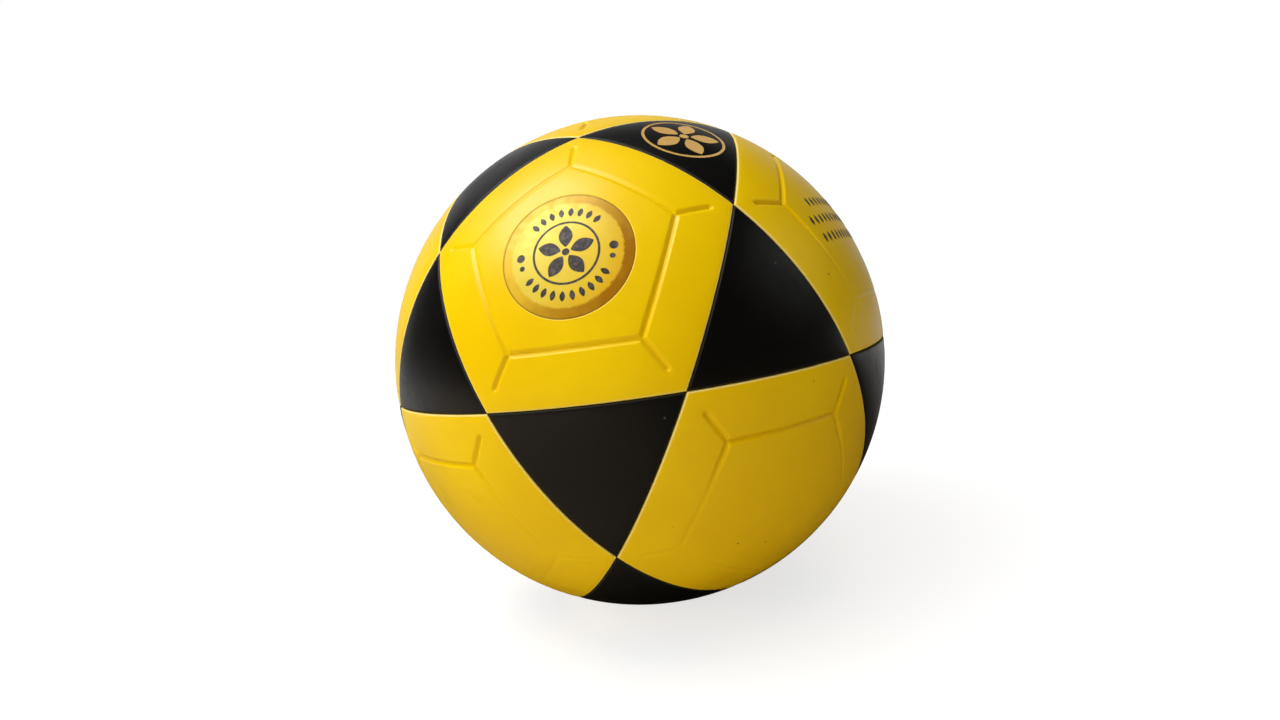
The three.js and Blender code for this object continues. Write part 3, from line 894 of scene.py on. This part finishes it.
class Nodes:
    """A node tree, and short calls that add to it. A value is a number, a colour or another node's socket."""

    def __init__(self, owner):
        owner.use_nodes = True
        self.tree = owner.node_tree

    def add(self, kind, settings=None, inputs=None):
        node = self.tree.nodes.new(kind)
        for setting, value in (settings or {}).items():
            setattr(node, setting, value)
        for socket, value in (inputs or {}).items():
            self.feed(node.inputs[socket], value)
        return node

    def feed(self, socket, value):
        if isinstance(value, bpy.types.NodeSocket):
            self.tree.links.new(value, socket)
        else:
            socket.default_value = value

    def coordinates(self, kind):
        return self.add("ShaderNodeTexCoord").outputs[kind]

    def remap(self, value, low, high, to_low=0, to_high=1):
        inputs = {"Value": value, "From Min": low, "From Max": high, "To Min": to_low, "To Max": to_high}
        return self.add("ShaderNodeMapRange", {"interpolation_type": "SMOOTHSTEP"}, inputs).outputs["Result"]

    def math(self, operation, a, b):
        return self.add("ShaderNodeMath", {"operation": operation}, {0: a, 1: b}).outputs[0]

    def measure(self, operation, *vectors):
        """One number from one vector or two."""
        inputs = dict(enumerate(vectors))
        return self.add("ShaderNodeVectorMath", {"operation": operation}, inputs).outputs["Value"]

    def mix(self, share, a, b):
        node = self.add("ShaderNodeMix", {"data_type": "RGBA"}, {0: share, 6: a, 7: b})
        return node.outputs[2]

    def ray_is(self, kind):
        return self.add("ShaderNodeLightPath").outputs[f"Is {kind} Ray"]

    def by_way(self):
        """1 for rays by way of a mirror or glass."""
        return self.math("MAXIMUM", self.ray_is("Glossy"), self.ray_is("Transmission"))


class Shader(Nodes):
    """A material with one Principled shader, textured by place on the ball."""

    def __init__(self, name):
        self.material = bpy.data.materials.new(name)
        super().__init__(self.material)
        self.principled = self.tree.nodes["Principled BSDF"]
        self.place = self.coordinates("Object")

    def set(self, **inputs):
        for name, value in inputs.items():
            self.feed(self.principled.inputs[name.replace("_", " ")], value)

    def noise(self, scale, detail, place=None):
        inputs = {"Vector": place or self.place, "Scale": scale, "Detail": detail}
        return self.add("ShaderNodeTexNoise", None, inputs).outputs["Fac"]

    def pattern(self, noise, ramp, place=None):
        """Noise put through a ramp."""
        return self.remap(self.noise(*noise, place), *ramp)

    def stretched(self, stretch, turn):
        """Places squeezed along turned axes, for streaks."""
        inputs = {"Vector": self.place, "Rotation": turn, "Scale": stretch}
        return self.add("ShaderNodeMapping", None, inputs).outputs["Vector"]

    def attribute(self, name):
        return self.add("ShaderNodeAttribute", {"attribute_name": name}).outputs["Fac"]

    def bump(self, height, depth, strength, normal=None):
        inputs = {"Height": height, "Distance": depth, "Strength": strength}
        if normal:
            inputs["Normal"] = normal
        return self.add("ShaderNodeBump", None, inputs).outputs["Normal"]

    def specks(self):
        """Sparse round spots, one in some of the cells of a random grid."""
        inputs = {"Vector": self.place, "Scale": SPECK_CELLS, "Randomness": 1}
        cells = self.add("ShaderNodeTexVoronoi", None, inputs)
        chosen = self.add("ShaderNodeSeparateColor", None, {"Color": cells.outputs["Color"]}).outputs[0]
        spot = self.remap(cells.outputs["Distance"], SPECK_SIZE * SPECK_CORE, SPECK_SIZE, 1, 0)
        return self.math("MULTIPLY", spot, self.remap(chosen, *SPECK_CHOICE))


def cover_skin(name, colour, deep, grime_and_shade, edge, speck, specular):
    """Smooth moulded leather: soft colour drift, fine grain, faint rubs, tiny specks and a worn edge."""
    shader = Shader(name)
    tone = shader.mix(shader.pattern(DRIFT_NOISE, DRIFT_RAMP), deep, colour)
    mottle = shader.pattern(MOTTLE_NOISE, MOTTLE_RAMP)
    tone = shader.mix(mottle, tone, deep)
    rubs = shader.pattern(RUB_NOISE, RUB_RAMP, shader.stretched(RUB_STRETCH, RUB_TURN))
    tone = shader.mix(shader.math("MULTIPLY", rubs, RUB_TINT), tone, grime_and_shade)
    seam = shader.attribute("seam")
    worn_edge = shader.math("MULTIPLY", shader.remap(seam, *WEAR_STARTS), shader.remap(seam, *WEAR_ENDS))
    tone = shader.mix(worn_edge, tone, edge)
    # Painted shade in the seam gaps: towards the grime colour, darker on the yellow, a lighter worn tone on
    # the black
    tone = shader.mix(shader.remap(seam, *SEAM_GRIME_AND_SHADE), tone, grime_and_shade)
    # Painted shade deep in the grooves: a little towards the grime colour, darker on the yellow
    tone = shader.mix(shader.remap(shader.attribute("press"), *PRESS_GRIME_AND_SHADE), tone, grime_and_shade)
    tone = shader.mix(shader.math("MULTIPLY", shader.specks(), SPECK_TINT), tone, speck)
    rubbed = shader.math("MULTIPLY", rubs, RUB_DULLING)
    worn = shader.math("ADD", rubbed, shader.math("MULTIPLY", mottle, MOTTLE_DULLING))
    dullness = shader.math("ADD", shader.pattern(SHEEN_NOISE, SHEEN_RAMP), worn)
    dullness = shader.math("ADD", dullness, shader.remap(seam, *EDGE_DULLING))
    peel = shader.bump(shader.noise(*PEEL_NOISE), *PEEL_BUMP)
    grain = shader.bump(shader.noise(*GRAIN_NOISE), *GRAIN_BUMP, peel)
    shader.set(Base_Color=tone, Roughness=dullness, Normal=grain, Specular_IOR_Level=specular)
    return shader.material


def gold_with_painted_light(shader, turn, deep, painted_lit):
    """Gold that pales across the print towards the side the light comes from, as painted light, with soft
    blots.
    """
    toward_light = shader.measure("DOT_PRODUCT", shader.place, turn.to_3x3() @ PAINTED_LIGHT_DIRECTION)
    share = shader.remap(toward_light, -ROUNDEL_RADIUS, ROUNDEL_RADIUS)
    return shader.mix(shader.math("ADD", share, shader.pattern(BLOT_NOISE, BLOT_RAMP)), deep, painted_lit)


def foil_finish(shader):
    """Satin gold print with fine wrinkles."""
    wrinkles = shader.bump(shader.noise(*FOIL_WRINKLE_NOISE), *FOIL_WRINKLE_BUMP)
    sheen = shader.pattern(FOIL_SHEEN_NOISE, FOIL_SHEEN_RAMP)
    shader.set(Roughness=sheen, Normal=wrinkles, Metallic=FOIL_METALLIC)
    return shader.material


def roundel_gold(name, turn):
    """Pale gold that deepens in a halo, with a deeper rim, whose inner edge is ragged, and a dark outline."""
    shader = Shader(name)
    reach = shader.measure("DISTANCE", shader.place, turn @ Vector((0, 0, BALL_RADIUS)))
    inner = ROUNDEL_RADIUS - ROUNDEL_RIM
    near_halo = shader.remap(reach, HALO_START, inner, 0, HALO_STRENGTH)
    ragged = shader.math("ADD", reach, shader.pattern(RAGGED_NOISE, RAGGED_RAMP))
    at_rim = shader.remap(ragged, inner - RIM_BLEND, inner + RIM_BLEND)
    edge = ROUNDEL_RADIUS - OUTLINE_WIDTH
    at_outline = shader.remap(reach, edge - OUTLINE_BLEND, edge + OUTLINE_BLEND, 0, OUTLINE_STRENGTH)
    # Painted light: each gold below pales towards the side the light comes from
    tone = gold_with_painted_light(shader, turn, FOIL, FOIL_PAINTED_LIT)
    tone = shader.mix(near_halo, tone, gold_with_painted_light(shader, turn, HALO, HALO_PAINTED_LIT))
    tone = shader.mix(at_rim, tone, gold_with_painted_light(shader, turn, RIM, RIM_PAINTED_LIT))
    shader.set(Base_Color=shader.mix(at_outline, tone, OUTLINE))
    return foil_finish(shader)


def mark_gold(name, turn):
    shader = Shader(name)
    # Gold with painted light: paler towards the side the light comes from
    shader.set(Base_Color=gold_with_painted_light(shader, turn, MARK, MARK_PAINTED_LIT))
    return foil_finish(shader)


def print_ink(name):
    """Dark printed ink, thin in places."""
    shader = Shader(name)
    shader.set(Base_Color=shader.mix(shader.pattern(INK_THIN_NOISE, INK_THIN_RAMP), INK, INK_PALE))
    shader.set(Roughness=shader.pattern(INK_SHEEN_NOISE, INK_SHEEN_RAMP))
    shader.set(Normal=shader.bump(shader.noise(*INK_GRAIN_NOISE), *INK_GRAIN_BUMP))
    return shader.material


def rubber(name):
    """Moulded rubber: fine pitted grain and a bloom of dust."""
    colour, dusty, roughness, scale = RUBBERS[name]
    shader = Shader(name)
    shader.set(Base_Color=shader.mix(shader.pattern((scale, BLOOM_DETAIL), BLOOM_RAMP), colour, dusty))
    patch_ramp = (*NOISE_RANGE, roughness - PATCH_SPREAD, roughness + PATCH_SPREAD)
    shader.set(Roughness=shader.pattern((scale * PATCH_FINENESS, PATCH_DETAIL), patch_ramp))
    shader.set(Normal=shader.bump(shader.noise(scale * PIT_FINENESS, PIT_DETAIL), *PIT_BUMP))
    return shader.material


def wound_nylon(name):
    """Raised strands, with painted shade in the gaps between them."""
    shader = Shader(name)
    strands = None
    for turn in STRAND_TURNS:
        inputs = {"Vector": shader.stretched(UNSTRETCHED, turn), **STRAND_WAVE}
        wave = shader.add("ShaderNodeTexWave", {"wave_profile": "SIN"}, inputs).outputs["Fac"]
        strands = wave if strands is None else shader.math("MAXIMUM", strands, wave)
    shader.set(Base_Color=shader.mix(shader.remap(strands, *STRAND_RAMP), NYLON_SHADE, NYLON))
    shader.set(Normal=shader.bump(strands, *STRAND_BUMP), Roughness=NYLON_ROUGHNESS, Sheen_Weight=NYLON_SHEEN)
    return shader.material


# Camera, floor and light

# Floor, which whitens with the distance from the ball's centre: its colour to the camera and to the ball
FLOOR_RADIUS = 8
FLOOR_SIDES = 96
FLOOR_WHITENING = (0.4, 1.3, 0.72, 1)
FLOOR_SEEN = (0.4, 0.4, 0.4, 1)
FLOOR_BOUNCE = (0.82, 0.72, 0.14, 1)
# The floor in the ball's gloss: its colour, and ramps of its glow over metres leftwards, to the front and on
# to the left, and backwards. The glow is tinted in front, and has a painted shadow under the ball, near its
# centre
FLOOR_IN_GLOSS = (0.03, 0.028, 0.024, 1)
FRONT_GLOW = (-0.15, 0.1, 0.02, 0.2)
LEFT_GLOW = (0.12, 0.35, 0, 0.38)
BACK_GLOW = (0.03, 0.42, 0, 0.6)
GLOW_TINT = (1, 0.78, 0.6, 1)
GLOW_TINT_ENDS = (0, 0.3)
GLOW_PAINTED_SHADOW = (0.124, 0.165)
# How bright the room looks in the ball's gloss, over the cosine of the angle from straight behind the ball
ROOM_GLOW = (0.45, 0.88, 0.01, 0.56)
# Lamps: place in ball radii along the camera's right, up and back, size in ball radii, power in watts,
# colour, and whether they light the ball and whether its gloss shows them
LAMPS = {
    "key_softbox": ((-3.6, 5.5, 1.9), 4.6, 2.6, (1, 1, 1), True, True),
    "front_softbox": ((-2.5, 3.5, 6.0), 8.0, 3.0, (1, 1, 1), True, False),
    "left_softbox": ((-9.0, 0, 2.0), 14.0, 8.4, (0.94, 1, 0.97), True, False),
    "ceiling": ((-1.5, 9.0, 1.0), 16.0, 6.6, (1, 1, 1), True, False),
    "back_softbox": ((3.0, 5.0, -7.0), 8.0, 2.6, (1, 1, 1), True, False),
    "right_reflector": ((5.6, 3.7, 1.6), 3.5, 0.1, (1, 1, 1), False, True),
}


def camera_axes():
    """The camera's right, up and back directions."""
    azimuth, elevation = math.radians(CAMERA_AZIMUTH), math.radians(CAMERA_ELEVATION)
    back = Vector((
        math.sin(azimuth) * math.cos(elevation),
        -math.cos(azimuth) * math.cos(elevation),
        math.sin(elevation),
    ))
    level_right = Vector((0, 0, 1)).cross(back).normalized()
    level_up = back.cross(level_right)
    roll = math.radians(CAMERA_ROLL)
    up = level_up * math.cos(roll) + level_right * math.sin(roll)
    return up.cross(back), up, back


def make_camera():
    right, up, back = camera_axes()
    data = bpy.data.cameras.new("camera")
    data.lens = FOCAL_LENGTH_PIXELS / IMAGE_WIDTH_PIXELS * data.sensor_width
    data.clip_start = CLIP_START
    camera = bpy.data.objects.new("camera", data)
    turn = Matrix((right, up, back)).transposed().to_4x4()
    camera.matrix_world = Matrix.Translation(back * CAMERA_DISTANCE * BALL_RADIUS) @ turn
    bpy.context.scene.collection.objects.link(camera)
    bpy.context.scene.camera = camera


def floor_white(name):
    """White to the camera, with a grey that keeps the ball's shadow; dimmer in the ball's gloss."""
    right, _, back = camera_axes()
    material = bpy.data.materials.new(name)
    nodes = Nodes(material)
    nodes.tree.nodes.remove(nodes.tree.nodes["Principled BSDF"])
    place = nodes.coordinates("Object")
    far = nodes.measure("LENGTH", place)
    leftward, backward = (nodes.measure("DOT_PRODUCT", place, -side) for side in (right, back))
    around = nodes.math("MAXIMUM", nodes.remap(leftward, *FRONT_GLOW), nodes.remap(leftward, *LEFT_GLOW))
    around = nodes.math("MAXIMUM", around, nodes.remap(backward, *BACK_GLOW))
    # Painted shadow: the glow the ball sees in its gloss is cleared near the ball's centre, under the ball
    around = nodes.math("MULTIPLY", around, nodes.remap(far, *GLOW_PAINTED_SHADOW))
    by_camera, by_way = nodes.ray_is("Camera"), nodes.by_way()
    seen = nodes.math("MAXIMUM", by_camera, nodes.math("MULTIPLY", by_way, around))
    strength = nodes.math("MULTIPLY", seen, nodes.remap(far, *FLOOR_WHITENING))
    tint = nodes.mix(nodes.remap(backward, *GLOW_TINT_ENDS), GLOW_TINT, WHITE)
    tint = nodes.mix(by_way, WHITE, tint)
    glow = nodes.add("ShaderNodeEmission", None, {"Color": tint, "Strength": strength})
    tone = nodes.mix(by_way, FLOOR_BOUNCE, FLOOR_IN_GLOSS)
    tone = nodes.mix(by_camera, tone, FLOOR_SEEN)
    diffuse = nodes.add("ShaderNodeBsdfDiffuse", None, {"Color": tone})
    both = nodes.add("ShaderNodeAddShader", None, {0: diffuse.outputs[0], 1: glow.outputs[0]})
    nodes.feed(nodes.tree.nodes["Material Output"].inputs["Surface"], both.outputs[0])
    return material


def make_floor():
    turns = 2 * np.pi * even_stops(FLOOR_SIDES)
    points = [(FLOOR_RADIUS * math.cos(turn), FLOOR_RADIUS * math.sin(turn), -BALL_RADIUS) for turn in turns]
    mesh = bpy.data.meshes.new("floor")
    mesh.from_pydata(points, [], [tuple(range(len(points)))])
    mesh.materials.append(floor_white("floor_white"))
    floor = bpy.data.objects.new("floor", mesh)
    bpy.context.scene.collection.objects.link(floor)


def make_light():
    right, up, back = camera_axes()
    for name, (place, size, power, colour, lights, in_gloss) in LAMPS.items():
        data = bpy.data.lights.new(name, "AREA")
        data.shape = "DISK"
        data.size = size * BALL_RADIUS
        data.energy = power
        data.color = colour
        lamp = bpy.data.objects.new(name, data)
        spot = (right * place[0] + up * place[1] + back * place[2]) * BALL_RADIUS
        lamp.matrix_world = Matrix.Translation(spot) @ spot.to_track_quat("Z", "Y").to_matrix().to_4x4()
        lamp.visible_diffuse = lights
        lamp.visible_glossy = in_gloss
        data.cycles.use_multiple_importance_sampling = in_gloss
        bpy.context.scene.collection.objects.link(lamp)


def make_world():
    """White to the camera; in gloss a pale wall behind the ball and a dim front; no light of its own."""
    _, _, back = camera_axes()
    world = bpy.data.worlds.new("studio")
    bpy.context.scene.world = world
    nodes = Nodes(world)
    wall = nodes.remap(nodes.measure("DOT_PRODUCT", nodes.coordinates("Generated"), -back), *ROOM_GLOW)
    gloss = nodes.math("MULTIPLY", nodes.by_way(), wall)
    strength = nodes.math("MAXIMUM", nodes.ray_is("Camera"), gloss)
    paper = nodes.add("ShaderNodeBackground", None, {"Color": WHITE, "Strength": strength})
    nodes.feed(nodes.tree.nodes["World Output"].inputs["Surface"], paper.outputs[0])


# The scene

yellow_skin = cover_skin(
    "yellow_skin", YELLOW, YELLOW_DEEP, YELLOW_GRIME_AND_SHADE, YELLOW_EDGE, SPECK, YELLOW_SPECULAR)
black_skin = cover_skin("black_skin", BLACK, BLACK, BLACK_WORN, BLACK_EDGE, DUST, BLACK_SPECULAR)
cover_turns = make_cover(yellow_skin, black_skin)
make_prints(cover_turns)
make_valve()
make_shells()
make_camera()
make_floor()
make_light()
make_world()
bpy.context.scene.view_settings.view_transform = "Standard"
